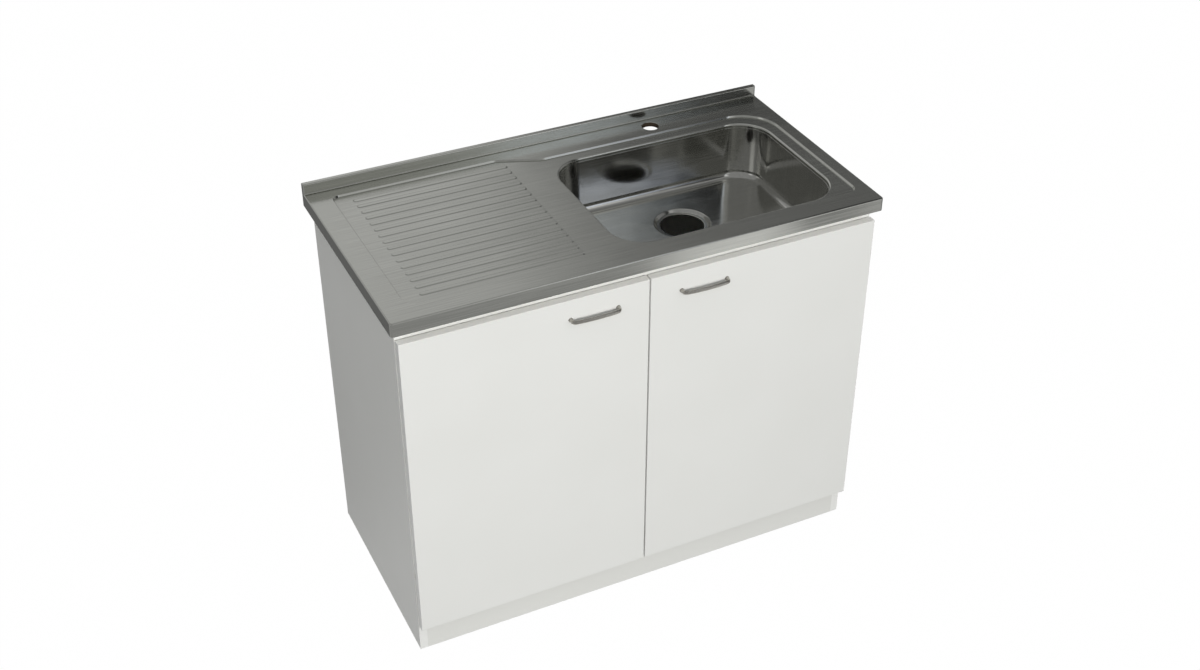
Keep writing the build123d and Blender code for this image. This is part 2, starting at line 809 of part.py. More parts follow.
def hinge_cup(side, level):
    """Pressed cup with its flange, and two ears that hold the pin."""
    seat = hinge_hand(side, level)
    with BuildPart() as cup:
        add(rod(seat, (0, -1, 0), cup_diameter, cup_depth))
        with BuildSketch(Plane(origin=seat, x_dir=(1, 0, 0), z_dir=(0, 1, 0))):
            Circle(cup_diameter / 2 + flange_rim)
            with Locations((-side * cup_screw_shift, 0)):
                RectangleRounded(flange_width, flange_length, flange_corner)
        extrude(amount=flange_thickness)
        mouth = (seat[0], door_back_y + flange_thickness, level)
        add(rod(mouth, (0, -1, 0), 2 * cup_inner_radius, cup_depth + flange_thickness - cup_wall),
            mode=Mode.SUBTRACT)
        add(cup_ears(side, level))
        add(pin_solid(side, level, pin_diameter, pin_length), mode=Mode.SUBTRACT)
        add(cup_screw_set(side), mode=Mode.SUBTRACT)
    return cup.part


def arm_screw_set():
    """Every screw that holds an arm on its mounting plate."""
    with BuildPart() as screws:
        for side in (-1, 1):
            for level in hinge_levels:
                head_x = side * (half_inside - plate_thickness - channel_depth)
                add(pan_screw((head_x, arm_screw_y, level), (side, 0, 0), screw_arm, screw_arm_length,
                              screw_wood_head))
    return screws.part


def plate_screw_set():
    """Every screw that holds a mounting plate on a side board."""
    with BuildPart() as screws:
        for side in (-1, 1):
            for level in hinge_levels:
                for up in (-1, 1):
                    seat = (side * (half_inside - plate_thickness), plate_screw_y,
                            level + up * plate_screw_pitch / 2)
                    add(pan_screw(seat, (side, 0, 0), screw_plate, screw_plate_length, screw_plate_head))
    return screws.part


arm_screws = arm_screw_set()
plate_screws = plate_screw_set()


def hinge_arm(side, level):
    """Neck from the barrel round the pin to the channel that lies on the mounting plate."""
    centre = (side * pin_x, pin_y)
    rear_u = arm_seat + arm_thickness / 2
    turn_v = carcass_front_y - pin_y + arm_thickness + arm_rise
    rear_v = carcass_front_y - pin_y + channel_front + arm_rise
    points = [(0, 0), (arm_reach, 0), (arm_reach, arm_rise), (rear_u, turn_v), (rear_u, rear_v)]
    channel_x = sorted((side * (half_inside - plate_thickness),
                        side * (half_inside - plate_thickness - channel_depth)))
    channel_y = (carcass_front_y + channel_front, carcass_front_y + channel_front + channel_length)
    with BuildPart() as arm:
        with BuildSketch(Plane.XY.offset(level)):
            with BuildLine():
                line = Polyline(*[(centre[0] - side * u, centre[1] + v) for u, v in points])
            trace(line, line_width=arm_thickness)
            with Locations(centre):
                Circle(barrel_diameter / 2)
        extrude(amount=arm_height / 2, both=True)
        add(upright_box(channel_x, channel_y, (level - channel_height / 2, level + channel_height / 2)))
        add(pin_solid(side, level, pin_diameter + 2 * pin_clearance, arm_height), mode=Mode.SUBTRACT)
        add(arm_screws, mode=Mode.SUBTRACT)
    return arm.part


def hinge_plate(side, level):
    """Cross-shaped mounting plate on the side board's inner face."""
    plate_x = sorted((side * half_inside, side * (half_inside - plate_thickness)))
    start_y = carcass_front_y + plate_front
    with BuildPart() as plate:
        add(upright_box(plate_x, (start_y, start_y + plate_length),
                        (level - plate_height / 2, level + plate_height / 2)))
        add(upright_box(plate_x, (plate_screw_y - wing_length / 2, plate_screw_y + wing_length / 2),
                        (level - wing_height / 2, level + wing_height / 2)))
        add(arm_screws, mode=Mode.SUBTRACT)
        add(plate_screws, mode=Mode.SUBTRACT)
    return plate.part


write(arm_screws, "arm_screws")
write(plate_screws, "plate_screws")
for hand, side in (("left", -1), ("right", 1)):
    for place, level in zip(("lower", "upper"), hinge_levels):
        write(hinge_cup(side, level), f"hinge_cup_{hand}_{place}")
        write(hinge_arm(side, level), f"hinge_arm_{hand}_{place}")
        write(hinge_plate(side, level), f"hinge_plate_{hand}_{place}")
    with BuildPart() as hinge_pins:
        for level in hinge_levels:
            add(pin_solid(side, level, pin_diameter, pin_length))
    write(hinge_pins.part, f"hinge_pins_{hand}")
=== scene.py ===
"""Kitchen sink unit: a lay-on stainless steel sink with a ribbed drainer, on a white two-door
cabinet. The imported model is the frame, and each section below dresses one piece of it, in the
order in which the unit is put together: boards, hinges, doors, handles, then the sink on top."""
import math

import bmesh
import bpy
from mathutils import Matrix, Vector


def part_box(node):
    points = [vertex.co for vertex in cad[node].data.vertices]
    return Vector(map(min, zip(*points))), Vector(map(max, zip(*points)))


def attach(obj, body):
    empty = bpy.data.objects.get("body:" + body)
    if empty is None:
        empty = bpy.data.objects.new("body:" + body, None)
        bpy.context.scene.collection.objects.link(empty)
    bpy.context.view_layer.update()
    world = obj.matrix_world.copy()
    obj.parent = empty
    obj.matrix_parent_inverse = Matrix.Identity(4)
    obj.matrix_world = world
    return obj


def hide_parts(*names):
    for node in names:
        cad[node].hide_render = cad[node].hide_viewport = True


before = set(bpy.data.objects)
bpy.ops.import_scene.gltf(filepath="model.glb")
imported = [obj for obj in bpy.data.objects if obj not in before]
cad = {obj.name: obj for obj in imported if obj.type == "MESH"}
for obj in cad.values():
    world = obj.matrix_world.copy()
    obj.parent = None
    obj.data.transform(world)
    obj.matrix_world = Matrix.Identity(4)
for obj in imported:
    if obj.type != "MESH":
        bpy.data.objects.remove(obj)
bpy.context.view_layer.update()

# ---------------------------------------------------------------------------------------------
# Cabinet boards: 16 mm chipboard faced on both sides with white melamine paper pressed on a
# finely textured plate. Front edges carry a thin white band, the other edges are raw chipboard.

MM = 0.001

# Nearly all of a noise pattern lies between these two values.
noise_middle = {"From Min": 0.3, "From Max": 0.7}


def tone(code):
    """Linear colour of a hex sRGB value."""
    parts = [int(code[i:i + 2], 16) / 255 for i in (1, 3, 5)]
    return tuple(p / 12.92 if p <= 0.04045 else ((p + 0.055) / 1.055) ** 2.4 for p in parts) + (1,)


def grow(tree, kind, inputs=None, **settings):
    """Node of one kind, with its settings made and each input given a value or a link."""
    made = tree.nodes.new("ShaderNode" + kind)
    for name, value in settings.items():
        setattr(made, name, value)
    for name, value in (inputs or {}).items():
        if isinstance(value, bpy.types.NodeSocket):
            tree.links.new(value, made.inputs[name])
        else:
            made.inputs[name].default_value = value
    return made


def start_material(name, **sockets):
    """Material with one Principled surface, its node tree and that surface."""
    material = bpy.data.materials.new(name)
    material.use_nodes = True
    tree = material.node_tree
    surface = tree.nodes["Principled BSDF"]
    for label, value in sockets.items():
        surface.inputs[label.replace("_", " ")].default_value = value
    return material, tree, surface


def spots(tree, scale, stretch=(1, 1, 1), detail=2.0, roughness=0.5):
    """Noise in object space, with scale in features a metre along each stretched axis."""
    place = grow(tree, "TexCoord")
    sized = grow(tree, "Mapping", {"Vector": place.outputs["Object"], "Scale": stretch})
    return grow(tree, "TexNoise", {"Vector": sized.outputs[0], "Scale": scale, "Detail": detail,
                                   "Roughness": roughness}).outputs["Fac"]


def board_material(name, face_axis, banded, face="#E9E9E5", band="#EEEEEA"):
    """Melamine, which looks an even white with a faint pearl, on the two big faces, and a band on
    the edges that face the banded ways. The pearl is 1 mm across, as on the press plate, the
    clouds in the paper are 200 mm across and the chips on the raw edges 2.4 mm."""
    material, tree, surface = start_material(name, IOR=1.5)
    pearl = spots(tree, 900, detail=3.0)
    cloud = spots(tree, 5, detail=2.0)
    clouded = grow(tree, "MapRange", {"Value": cloud, **noise_middle, "To Max": 0.35}).outputs[0]
    paper = grow(tree, "Mix", {0: clouded, 6: tone(face), 7: tone("#E2E2DD")},
                 data_type="RGBA").outputs[2]
    chips = grow(tree, "TexVoronoi", {"Vector": grow(tree, "TexCoord").outputs["Object"],
                                      "Scale": 420.0, "Randomness": 1.0})
    chip_tint = grow(tree, "SeparateColor", {"Color": chips.outputs["Color"]}).outputs[0]
    raw = grow(tree, "Mix", {0: chip_tint, 6: tone("#B99A6B"), 7: tone("#8A6A42")},
               data_type="RGBA").outputs[2]
    way = grow(tree, "SeparateXYZ", {"Vector": grow(tree, "TexCoord").outputs["Normal"]})
    across = grow(tree, "Math", {0: way.outputs[face_axis]}, operation="ABSOLUTE").outputs[0]
    on_face = grow(tree, "Math", {0: across, 1: 0.5}, operation="GREATER_THAN").outputs[0]
    edge = raw
    for axis, sign in banded:
        facing = grow(tree, "Math", {0: way.outputs[axis], 1: sign * 0.5},
                      operation="GREATER_THAN" if sign > 0 else "LESS_THAN").outputs[0]
        edge = grow(tree, "Mix", {0: facing, 6: edge, 7: tone(band)}, data_type="RGBA").outputs[2]
    colour = grow(tree, "Mix", {0: on_face, 6: edge, 7: paper}, data_type="RGBA").outputs[2]
    tree.links.new(colour, surface.inputs["Base Color"])
    sheen = grow(tree, "MapRange", {"Value": pearl, **noise_middle, "To Min": 0.34,
                                    "To Max": 0.46}).outputs[0]
    tree.links.new(sheen, surface.inputs["Roughness"])
    bump = grow(tree, "Bump", {"Height": pearl, "Strength": 0.25, "Distance": 0.05 * MM})
    tree.links.new(bump.outputs[0], surface.inputs["Normal"])
    return material


FRONT = (("Y", -1),)
ALL_ROUND = (("X", 1), ("X", -1), ("Y", -1), ("Z", 1), ("Z", -1))


def dress(names, material):
    """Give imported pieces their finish."""
    for name in names:
        piece = cad[name]
        piece.data.materials.clear()
        piece.data.materials.append(material)


dress(("side_left", "side_right"), board_material("melamine_side_board", "X", FRONT))
dress(("bottom_panel",), board_material("melamine_bottom_board", "Z", FRONT))
rail_melamine = board_material("melamine_rail_board", "Y", FRONT)
dress(("front_rail", "rear_upper_rail", "rear_lower_rail"), rail_melamine)
dress(("back_panel",), board_material("painted_hardboard", "Y", ()))
# The plinth's face is toned a little darker than the other boards' white, painted shade for where
# it stands back under the doors.
plinth_melamine_painted_shade = board_material("melamine_plinth_board_painted_shade", "Y", FRONT, face="#E3E3DE")
dress(("plinth",), plinth_melamine_painted_shade)

# ---------------------------------------------------------------------------------------------
# Board fixings: beech dowels, turned steel cam bolts and die-cast zinc cams, set in the boards,
# and zinc-plated plates with pan-head screws that hold the sink down on the rails.


def plated_metal(name, colour, rough, grain=400, darkest=0.9):
    """Bare or plated metal with a faint mottle from rolling, casting or plating, which breaks up
    its gleam. The mottle is 2.5 mm across unless grain, in spots a metre, says otherwise."""
    material, tree, surface = start_material(name, Metallic=1.0)
    mottle = spots(tree, grain, detail=3.0)
    shade = [c * darkest for c in tone(colour)[:3]] + [1]
    mottled = grow(tree, "Mix", {0: mottle, 6: shade, 7: tone(colour)}, data_type="RGBA")
    tree.links.new(mottled.outputs[2], surface.inputs["Base Color"])
    sheen = grow(tree, "MapRange", {"Value": mottle, **noise_middle, "To Min": rough - 0.05,
                                    "To Max": rough + 0.08}).outputs[0]
    tree.links.new(sheen, surface.inputs["Roughness"])
    bump = grow(tree, "Bump", {"Height": mottle, "Strength": 0.2, "Distance": 0.03 * MM})
    tree.links.new(bump.outputs[0], surface.inputs["Normal"])
    return material


# Zinc plating is pale and slightly blue, and cast zinc is duller, with a finer mottle.
zinc_plate = plated_metal("zinc_plated_steel", "#C6C8C9", 0.3)
cam_zinc = plated_metal("die_cast_zinc", "#B4B5B6", 0.42, grain=700)
dress(("cam_bolts", "fixing_plates", "fixing_screws", "back_nails"), zinc_plate)
dress(("cam_locks",), cam_zinc)


def raw_wood(name, light, dark, stretch, grain):
    """Bare wood or board, which is matt, with its grain along the axis that is stretched least."""
    material, tree, surface = start_material(name, IOR=1.5)
    fibre = spots(tree, grain, stretch=stretch, detail=4.0, roughness=0.6)
    streak = grow(tree, "MapRange", {"Value": fibre, **noise_middle}).outputs[0]
    streaked = grow(tree, "Mix", {0: streak, 6: tone(light), 7: tone(dark)}, data_type="RGBA")
    tree.links.new(streaked.outputs[2], surface.inputs["Base Color"])
    dull = grow(tree, "MapRange", {"Value": fibre, **noise_middle, "To Min": 0.6,
                                   "To Max": 0.8}).outputs[0]
    tree.links.new(dull, surface.inputs["Roughness"])
    bump = grow(tree, "Bump", {"Height": fibre, "Strength": 0.35, "Distance": 0.15 * MM})
    tree.links.new(bump.outputs[0], surface.inputs["Normal"])
    return material


# Turned beech is pale, with fibres 1 mm across and 18 mm long that run along the dowel.
beech = raw_wood("beech_dowel", "#D9B98A", "#B98F5C", (0.06, 1, 1), 900)
dress(("dowels",), beech)

# ---------------------------------------------------------------------------------------------
# Concealed hinges: nickel-plated pressed steel cups, arms and mounting plates, with steel pins
# and pan-head screws. Nickel is brighter and a little warmer than zinc.

nickel = plated_metal("nickel_plated_steel", "#C9C6C0", 0.22)
hinge_names = [name for name in cad if name.startswith(("hinge_cup", "hinge_arm", "hinge_plate"))]
dress(sorted(hinge_names), nickel)
hinge_fasteners = ("hinge_pins_left", "hinge_pins_right", "arm_screws", "plate_screws",
                   "cup_screws_left", "cup_screws_right", "handle_screws_left",
                   "handle_screws_right")
dress(hinge_fasteners, zinc_plate)

# ---------------------------------------------------------------------------------------------
# Doors: 16 mm melamine-faced chipboard, banded all round with thin white plastic. The band is
# toned a little lighter than the face, a painted highlight for the light that its edges catch.
# Soft clear buffers meet the carcass at the free edge, and look pale and slightly cloudy.

door_melamine = board_material("melamine_door_board", "Y", ALL_ROUND, face="#E8E8E4",
                               band="#EFEFEC")
dress(("door_left", "door_right"), door_melamine)

clear_pad, pad_tree, pad_surface = start_material("soft_clear_buffer", Roughness=0.35, IOR=1.46)
pad_mist = grow(pad_tree, "Mix", {0: spots(pad_tree, 600), 6: tone("#D8D8D2"),
                                  7: tone("#C4C4BD")}, data_type="RGBA")
pad_tree.links.new(pad_mist.outputs[2], pad_surface.inputs["Base Color"])
dress(("buffers_left", "buffers_right"), clear_pad)

# ---------------------------------------------------------------------------------------------
# Bow handles: flat oval steel rod, bent at both ends over round feet, then plated in satin
# nickel. The fine satin gives it a soft gleam, with a mottle under 1 mm across.

handle_centres = 96.0
handle_post = 6.0
handle_bend = 7.0
handle_reach = 18.0
handle_section = (5.5, 8.0)
rod_sides, bend_steps, crown_steps, foot_sides = 28, 10, 24, 32
# Half outline of a foot: how far it is from the rod's axis, and how far from the door.
foot_outline = ((0, 0), (4.5, 0), (4.5, 1.0), (4.2, 1.4), (3.5, 1.9), (3.2, 2.6), (3.3, 3.8),
                (3.0, 4.6), (2.2, 5.0), (0, 5.0))
weld = 0.001


def plant(name, mesh, body, material, stands_for=(), sharp=35):
    """Finished piece from a mesh in millimetres, riding on its body."""
    bmesh.ops.scale(mesh, vec=(MM, MM, MM), verts=mesh.verts)
    data = bpy.data.meshes.new(name)
    for face in mesh.faces:
        face.smooth = True
    mesh.to_mesh(data)
    mesh.free()
    data.materials.append(material)
    data.set_sharp_from_angle(angle=math.radians(sharp))
    piece = bpy.data.objects.new(name, data)
    bpy.context.scene.collection.objects.link(piece)
    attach(piece, body)
    if stands_for:
        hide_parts(*stands_for)
    return piece


def picked(found, kind):
    """Only the vertices, edges or faces of what an operator returns."""
    return [item for item in found if isinstance(item, kind)]


def spun(mesh, edges, centre, axis, angle, steps):
    """Edges turned about an axis, with the surface that they sweep."""
    verts = list({vert for edge in edges for vert in edge.verts})
    swept = bmesh.ops.spin(mesh, geom=verts + list(edges), cent=centre, axis=axis, dvec=(0, 0, 0),
                           angle=angle, steps=steps, use_merge=False, use_duplicate=False)
    return picked(swept["geom_last"], bmesh.types.BMEdge)


def turned(mesh, points, centre, axis, sides):
    """Line of points turned once round an axis into a closed round piece."""
    verts = [mesh.verts.new(point) for point in points]
    line = [mesh.edges.new(pair) for pair in zip(verts, verts[1:])]
    bmesh.ops.spin(mesh, geom=verts + line, cent=centre, axis=axis, dvec=(0, 0, 0),
                   angle=2 * math.pi, steps=sides, use_merge=True, use_duplicate=False)


def pushed(mesh, edges, shift):
    """Edges extruded and moved by a shift."""
    grown = bmesh.ops.extrude_edge_only(mesh, edges=edges)["geom"]
    bmesh.ops.translate(mesh, vec=shift, verts=picked(grown, bmesh.types.BMVert))
    return picked(grown, bmesh.types.BMEdge)


def bow_handle(centre_x, door_y, level):
    """Rod from foot to foot in the plane of the handle, and the two feet."""
    mesh = bmesh.new()
    half = handle_centres / 2
    rise = handle_reach - handle_section[0] / 2 - handle_post
    flat_x = half - handle_bend
    crown = (rise ** 2 + flat_x ** 2 - handle_bend ** 2) / (2 * (rise - handle_bend))
    crown_turn = math.atan2(flat_x, crown - rise)
    ring = bmesh.ops.create_circle(mesh, cap_ends=False, segments=rod_sides, radius=0.5)["verts"]
    bmesh.ops.scale(mesh, vec=(handle_section[0], handle_section[1], 1), verts=ring)
    upright = Matrix.Rotation(math.pi / 2, 3, "X")
    bmesh.ops.rotate(mesh, cent=(0, 0, 0), matrix=upright, verts=ring)
    bmesh.ops.translate(mesh, vec=(centre_x - half, door_y, level), verts=ring)
    edges = pushed(mesh, mesh.edges[:], (0, -handle_post, 0))
    bend_y = door_y - handle_post
    turn = math.pi / 2 - crown_turn
    edges = spun(mesh, edges, (centre_x - flat_x, bend_y, level), (0, 0, 1), turn, bend_steps)
    crown_y = bend_y + (crown - rise)
    edges = spun(mesh, edges, (centre_x, crown_y, level), (0, 0, 1), 2 * crown_turn, crown_steps)
    edges = spun(mesh, edges, (centre_x + flat_x, bend_y, level), (0, 0, 1), turn, bend_steps)
    pushed(mesh, edges, (0, handle_post, 0))
    for post in (-1, 1):
        axis_x = centre_x + post * half
        points = [(axis_x + out, door_y - along, level) for out, along in foot_outline]
        turned(mesh, points, (axis_x, door_y, level), (0, 1, 0), foot_sides)
    bmesh.ops.remove_doubles(mesh, verts=mesh.verts, dist=weld)
    bmesh.ops.recalc_face_normals(mesh, faces=mesh.faces)
    return mesh


satin_nickel = plated_metal("satin_nickel_plate", "#B9B6AF", 0.27, grain=1500)
for hand in ("left", "right"):
    low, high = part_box(f"handle_{hand}")
    middle = (low + high) / (2 * MM)
    plant(f"bow_handle_{hand}", bow_handle(middle.x, high.y / MM, middle.z), f"{hand}_door",
          satin_nickel, (f"handle_{hand}",))

# ---------------------------------------------------------------------------------------------
# Battens and tap backing: raw chipboard strips stapled round the underside of the sheet, a dull
# light brown with chips 2.4 mm across, and a dark hardboard pad under the tap ledge.

chipboard = raw_wood("raw_chipboard", "#B9AD98", "#94876F", (1, 1, 1), 420)
dress(("batten_front", "batten_left", "batten_right", "batten_rear_left", "batten_rear_right"),
      chipboard)
hardboard = raw_wood("raw_hardboard", "#40362B", "#2F2820", (1, 1, 1), 700)
dress(("tap_backing",), hardboard)

# ---------------------------------------------------------------------------------------------
# Sink deck: one sheet of 0.8 mm stainless steel, satin brushed along its length and pressed
# into lips, a sunk field, drainer ribs, the bowl's rolled rim and a hollow upstand at the back.

sheet = 0.8
half_width = 500.0
front_y = -243.0
back_y = 257.0
worktop = 800.0
lip_bottom = 772.0
lip_round = 3.0
lip_corner = 5.0
cove = 1.2
upstand_front = 246.0
upstand_top = 822.5
upstand_round = 2.6
bead = 1.0
rear_fold = 790.0
rear_return = 12.0
field_level = 796.5
field_slope = 2.2
field_corners = ((-455.0, -201.0, 26.0), (473.0, -201.0, 26.0), (473.0, 184.0, 80.0),
                 (-26.5, 184.0, 28.0), (-112.5, 218.0, 28.0), (-455.0, 218.0, 16.0))
collar_level = 788.5
rim_round = 4.0
bowl_left, bowl_right, bowl_front, bowl_back = -26.5, 443.5, -187.0, 157.0
bowl_corner = 70.0
tap_at = (232.0, 215.0)
tap_radius = 17.5
tap_roll = 0.8
rib_left, rib_right = -421.0, -100.5
rib_width, rib_height, rib_flank = 13.0, 1.3, 2.8
rib_front, rib_pitch, rib_count = -171.5, 24.0, 16
rib_rows = [rib_front + rib_pitch * row for row in range(rib_count)]

# The blank is cut long at the back, so that the trimmed corners are far from the bends.
blank_spare = 60.0
sharp_corner = 0.01

# How finely each round is made, and how close two places count as one.
blank_steps, field_steps, tap_steps, bowl_steps = 8, 16, 24, 28
lip_steps, cove_steps, bead_steps, upstand_steps = 6, 8, 6, 4
roll_steps, rim_steps, rib_steps, rib_sides = 4, 8, 6, 40
near, level_near, cut_near = 0.01, 0.001, 0.0001


def round_corners(x, y, radius):
    """Corners of a square that rounding turns into a circle, with the bends just apart."""
    return [(x + i * radius, y + j * radius, radius * 0.999)
            for i, j in ((-1, -1), (1, -1), (1, 1), (-1, 1))]


def bowl_corners(grown):
    """Corners of the bowl's mouth, grown all round."""
    return [(x, y, bowl_corner + grown) for x, y in (
        (bowl_left - grown, bowl_front - grown), (bowl_right + grown, bowl_front - grown),
        (bowl_right + grown, bowl_back + grown), (bowl_left - grown, bowl_back + grown))]


def outline(mesh, corners, level, steps):
    """Flat face with rounded corners, from each corner's place and radius."""
    known = set(mesh.faces)
    ring = [mesh.verts.new((x, y, level)) for x, y, _ in corners]
    mesh.faces.new(ring)
    count = len(corners)
    for index, (vert, (x, y, radius)) in enumerate(zip(ring, corners)):
        before = Vector(corners[index - 1][:2]) - Vector((x, y))
        after = Vector(corners[(index + 1) % count][:2]) - Vector((x, y))
        turn = math.pi - before.angle(after)
        bmesh.ops.bevel(mesh, geom=[vert], offset=radius * math.tan(turn / 2), segments=steps,
                        offset_type="ABSOLUTE", profile=0.5, affect="VERTICES", material=-1)
    return next(face for face in mesh.faces if face not in known)


def stepped(mesh, face, profile):
    """Face drawn in step by step, through (run, rise) pairs from where it starts."""
    last_run, last_rise = 0.0, 0.0
    for run, rise in profile:
        bmesh.ops.inset_region(mesh, faces=[face], thickness=run - last_run,
                               depth=rise - last_rise, use_even_offset=True, use_boundary=True)
        last_run, last_rise = run, rise


def ease(run, rise, steps):
    """Smooth S-shaped step of a pressing."""
    shares = [step / steps for step in range(1, steps + 1)]
    return [(run * share, rise * share * share * (3 - 2 * share)) for share in shares]


def ramp(run, rise):
    """Straight slope with a short bend at either end."""
    shares = ((0.06, 0.01), (0.12, 0.05), (0.2, 0.13), (0.8, 0.87), (0.88, 0.95), (0.94, 0.99),
              (1, 1))
    return [(run * along, rise * down) for along, down in shares]


def quarter(radius, steps, over=1):
    """Quarter round that starts flat and ends steep, or the other way for over -1."""
    turns = [math.pi / 2 * step / steps for step in range(1, steps + 1)]
    if over > 0:
        return [(radius * math.sin(turn), -radius * (1 - math.cos(turn))) for turn in turns]
    return [(radius * (1 - math.cos(turn)), radius * math.sin(turn)) for turn in turns]


def open_edges(mesh, test):
    """Edges of one face only, whose ends both pass a test."""
    return [edge for edge in mesh.edges
            if len(edge.link_faces) == 1 and all(test(vert.co) for vert in edge.verts)]


def cut(mesh, place, way, clear=False):
    """Everything cut through by a plane, and cleared beyond it where asked."""
    everything = mesh.verts[:] + mesh.edges[:] + mesh.faces[:]
    bmesh.ops.bisect_plane(mesh, geom=everything, dist=cut_near, plane_co=place, plane_no=way,
                           clear_outer=clear)


def raise_rib(mesh, row):
    """Round-ended rib raised out of the field."""
    radius = rib_width / 2
    ring = bmesh.ops.create_circle(mesh, cap_ends=True, segments=rib_sides, radius=radius)["verts"]
    half_side = Matrix.Rotation(math.pi / rib_sides, 3, "Z")
    bmesh.ops.rotate(mesh, cent=(0, 0, 0), matrix=half_side, verts=ring)
    bmesh.ops.translate(mesh, vec=(0, row, field_level), verts=ring)
    for vert in ring:
        vert.co.x += rib_left + radius if vert.co.x < 0 else rib_right - radius
    face = next(iter(ring[0].link_faces))
    stepped(mesh, face, ease(rib_flank, rib_height, rib_steps))


def pressed_deck():
    """Whole sheet, from the blank to the bowl's collar."""
    mesh = bmesh.new()
    # The blank with its front corners, drawn up to the quarter round of the lips.
    spare_y = back_y + blank_spare
    blank = outline(mesh, ((-half_width, front_y, lip_corner), (half_width, front_y, lip_corner),
                           (half_width, spare_y, sharp_corner),
                           (-half_width, spare_y, sharp_corner)), lip_bottom, blank_steps)
    lifted = bmesh.ops.extrude_face_region(mesh, geom=[blank])["geom"]
    top = picked(lifted, bmesh.types.BMFace)[0]
    bmesh.ops.translate(mesh, vec=(0, 0, worktop - lip_round - lip_bottom), verts=list(top.verts))
    stepped(mesh, top, quarter(lip_round, lip_steps, over=-1))
    under = [face for face in mesh.faces
             if all(abs(vert.co.z - lip_bottom) < near for vert in face.verts)]
    bmesh.ops.delete(mesh, geom=under, context="FACES")
    foot_y = upstand_front - cove
    root = worktop + cove - (back_y - foot_y)
    cut(mesh, (0, foot_y, 0), (0, 1, 0), clear=True)
    cut(mesh, (0, 0, root), (0, 0, 1))

    # The cove, the bead and the upstand turn up out of the rear edge.
    edges = open_edges(mesh, lambda co: abs(co.y - foot_y) < near and co.z > root - near)
    edges = spun(mesh, edges, (0, foot_y, worktop + cove), (1, 0, 0), math.pi / 2, cove_steps)
    turns = [step * math.pi / bead_steps for step in range(bead_steps + 1)]
    for last, turn in zip(turns, turns[1:]):
        edges = pushed(mesh, edges, (0, 0, bead * (math.cos(last) - math.cos(turn))))
        swell = bead * (math.sin(turn) - math.sin(last))
        face_verts = {vert for edge in edges for vert in edge.verts
                      if abs(vert.co.x) < half_width - lip_round + near}
        bmesh.ops.translate(mesh, vec=(0, -swell, 0), verts=list(face_verts))
    edges = pushed(mesh, edges, (0, 0, upstand_top - worktop - cove - 2 * bead))

    # The upstand's top, its rear skin, the flat ends down to the lips and two short rear returns.
    def corner(x, y, z):
        found = (vert for vert in mesh.verts if (vert.co - Vector((x, y, z))).length < near)
        return next(found, None) or mesh.verts.new((x, y, z))

    def on_cove(co):
        out = math.hypot(co.y - foot_y, co.z - worktop - cove)
        return abs(out - (back_y - foot_y)) < near and foot_y + near < co.y < back_y - near

    skin = []
    for side in (-1, 1):
        end_x = side * half_width
        end_verts = [vert for vert in mesh.verts if abs(vert.co.x - end_x) < near]
        rising = [vert for vert in end_verts if abs(vert.co.y - back_y) < near]
        rising.sort(key=lambda vert: vert.co.z)
        arc = [vert for vert in end_verts if on_cove(vert.co)]
        arc.sort(key=lambda vert: vert.co.y)
        fold = corner(end_x, back_y, rear_fold)
        tail = corner(end_x, back_y, lip_bottom)
        mesh.faces.new([corner(end_x, foot_y, lip_bottom), corner(end_x, foot_y, root), *arc,
                        rising[0], fold, tail])
        inner_x = end_x - side * rear_return
        inner = corner(inner_x, back_y, rear_fold)
        mesh.faces.new([fold, inner, corner(inner_x, back_y, lip_bottom), tail])
        half_skin = [inner, fold, *rising]
        skin += half_skin if side < 0 else half_skin[::-1]
    mesh.faces.new(skin)
    rear_edge = mesh.edges.get((corner(-half_width, back_y, upstand_top),
                                corner(half_width, back_y, upstand_top)))
    ridge = bmesh.ops.edgeloop_fill(mesh, edges=list(edges) + [rear_edge])["faces"]
    bmesh.ops.bevel(mesh, geom=list(ridge[0].edges), offset=upstand_round, offset_type="OFFSET",
                    segments=upstand_steps, profile=0.5, affect="EDGES", material=-1)

    # The sunk field slopes down from the worktop, and the tap hole is rolled in behind it.
    flats = [face for face in mesh.faces
             if all(abs(vert.co.z - worktop) < level_near for vert in face.verts)]
    top = max(flats, key=lambda face: face.calc_area())
    field = outline(mesh, field_corners, worktop, field_steps)
    stepped(mesh, field, ramp(field_slope, field_level - worktop))
    tap = outline(mesh, round_corners(*tap_at, tap_radius + tap_roll), worktop, tap_steps)
    stepped(mesh, tap, quarter(tap_roll, roll_steps))
    bmesh.ops.delete(mesh, geom=[top, tap], context="FACES_ONLY")
    rims = open_edges(mesh, lambda co: abs(co.z - worktop) < level_near and co.y < foot_y + near)
    bmesh.ops.triangle_fill(mesh, edges=rims, use_beauty=True)

    # Drainer ribs stand up from the field, and the bowl's rim rolls down out of it.
    for row in rib_rows:
        raise_rib(mesh, row)
    mouth = outline(mesh, bowl_corners(rim_round), field_level, bowl_steps)
    stepped(mesh, mouth, quarter(rim_round, rim_steps))
    collar = bmesh.ops.extrude_face_region(mesh, geom=[mouth])["geom"]
    bottom = picked(collar, bmesh.types.BMFace)
    collar_drop = collar_level - field_level + rim_round
    bmesh.ops.translate(mesh, vec=(0, 0, collar_drop), verts=list(bottom[0].verts))
    unwanted = [face for face in (field, mouth, *bottom) if face.is_valid]
    bmesh.ops.delete(mesh, geom=unwanted, context="FACES_ONLY")
    floor_edges = open_edges(mesh, lambda co: abs(co.z - field_level) < level_near)
    bmesh.ops.triangle_fill(mesh, edges=floor_edges, use_beauty=True)
    bmesh.ops.remove_doubles(mesh, verts=mesh.verts, dist=weld)
    bmesh.ops.recalc_face_normals(mesh, faces=mesh.faces)
    return mesh


